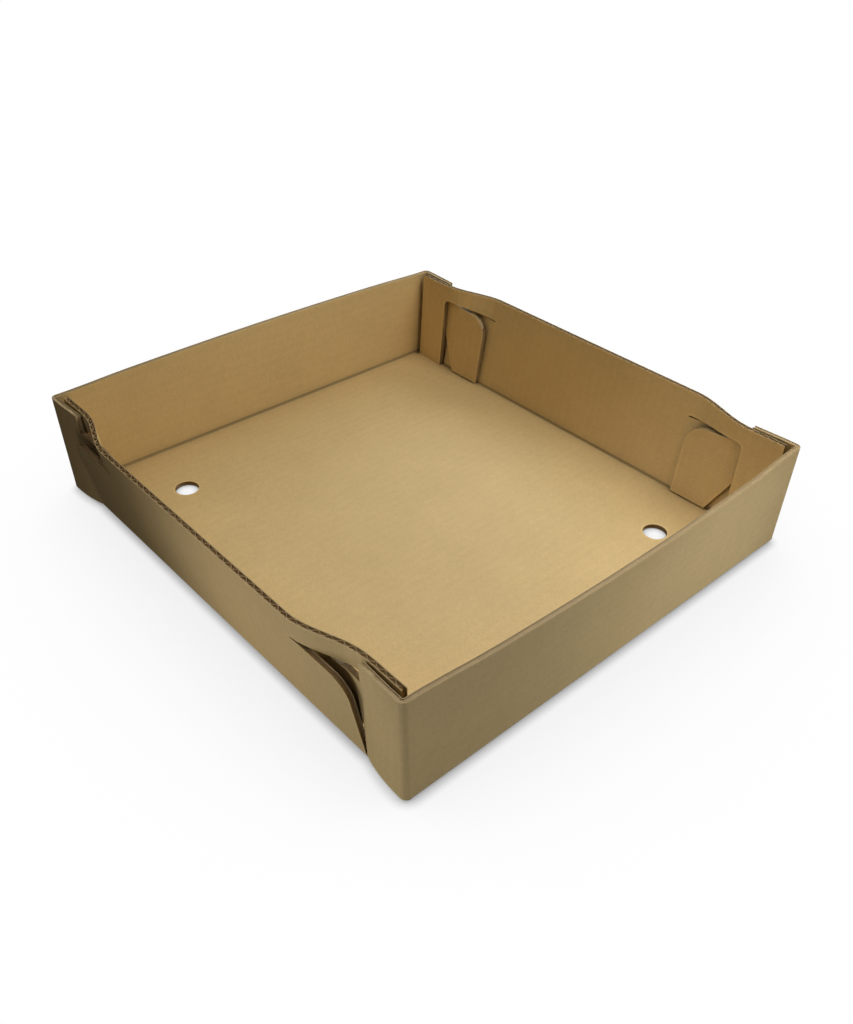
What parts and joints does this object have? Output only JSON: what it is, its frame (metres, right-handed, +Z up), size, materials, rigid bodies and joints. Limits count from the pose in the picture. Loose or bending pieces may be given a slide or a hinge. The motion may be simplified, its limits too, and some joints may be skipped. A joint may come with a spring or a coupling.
{
  "type": "takeaway food box",
  "caption": "Open rectangular food tray folded from one sheet of brown corrugated board, with self-locking corner flaps and steam vents in its base.",
  "frame": {"origin": "middle of the underside, on the table", "axes": "+X across the tray to a slotted side wall, +Y along it to an end wall, +Z up out of the opening"},
  "size_m": [0.3164, 0.336, 0.068],
  "materials": {
    "kraft_board": "uncoated brown kraft liner, matt"
  },
  "bodies": {
    "root": {"tray": "kraft_board"}
  },
  "joints": []
}
